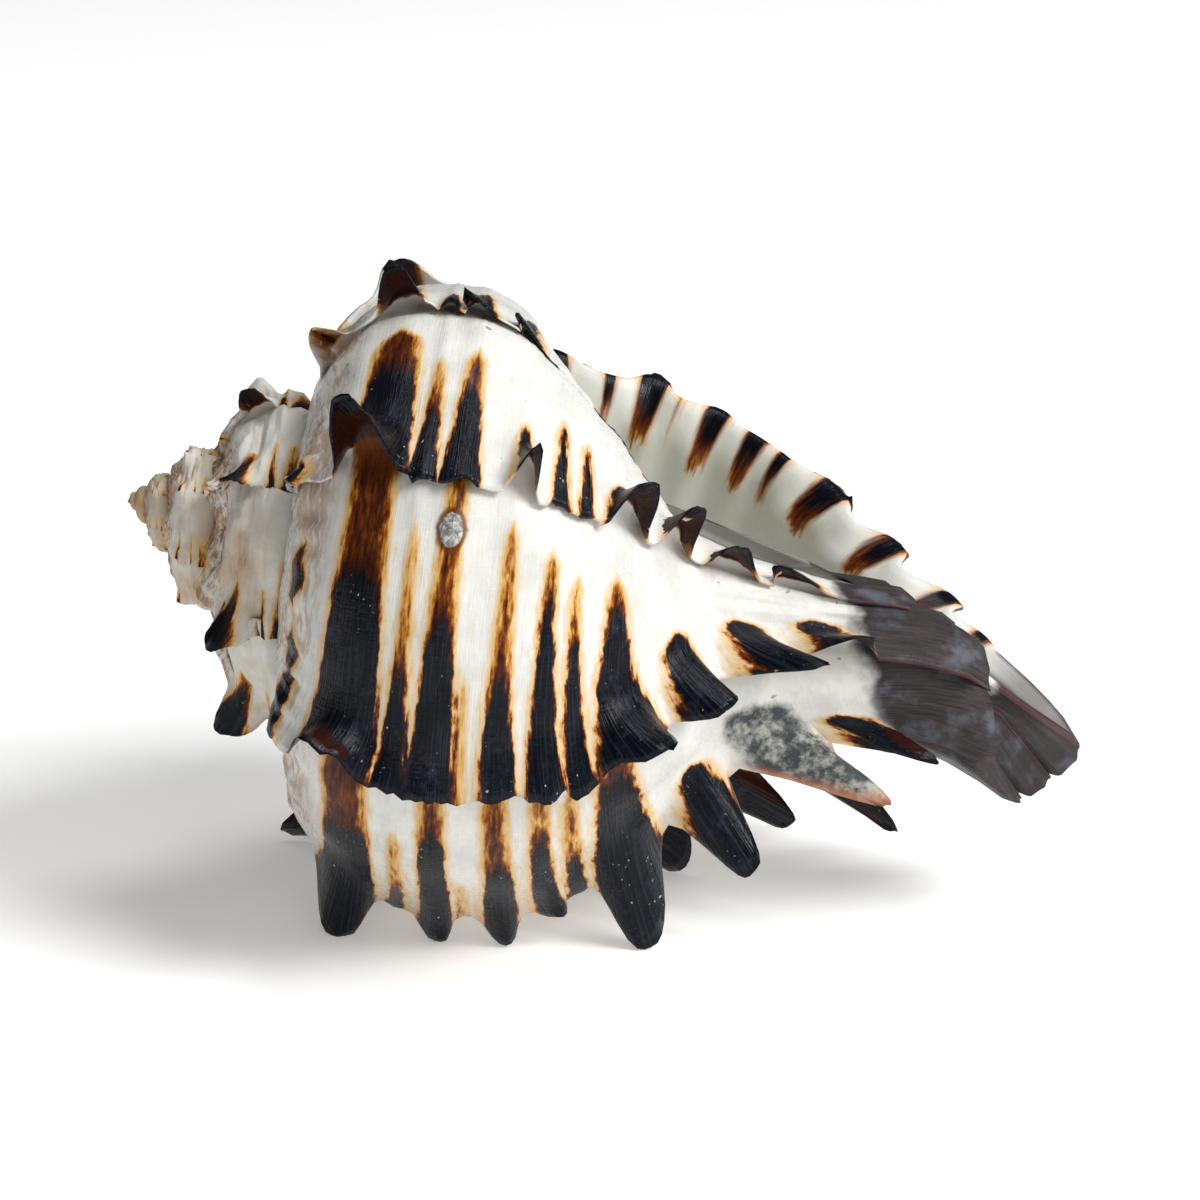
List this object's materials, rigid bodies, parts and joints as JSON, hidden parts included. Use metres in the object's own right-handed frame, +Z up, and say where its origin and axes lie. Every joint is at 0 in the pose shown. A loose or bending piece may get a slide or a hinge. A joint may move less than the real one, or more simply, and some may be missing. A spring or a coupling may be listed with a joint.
{
  "type": "murex shell",
  "caption": "Spiny sea snail shell with dark bands, a coiled spire, a wide flared aperture and a long spiny canal, lying with its aperture up.",
  "frame": {"origin": "bottom centre of the bounding box, on the surface that the spines rest on", "axes": "+X from the apex towards the siphonal canal, +Y away from the viewer's side, towards the flared lip, +Z up, on the aperture's side"},
  "size_m": [0.107, 0.0827, 0.0743],
  "materials": {
    "shell": "porcelain white natural shell with blue-black spiral bands edged in rust and amber, glossy to satin"
  },
  "bodies": {
    "root": {"murex_shell": "shell"}
  },
  "joints": []
}
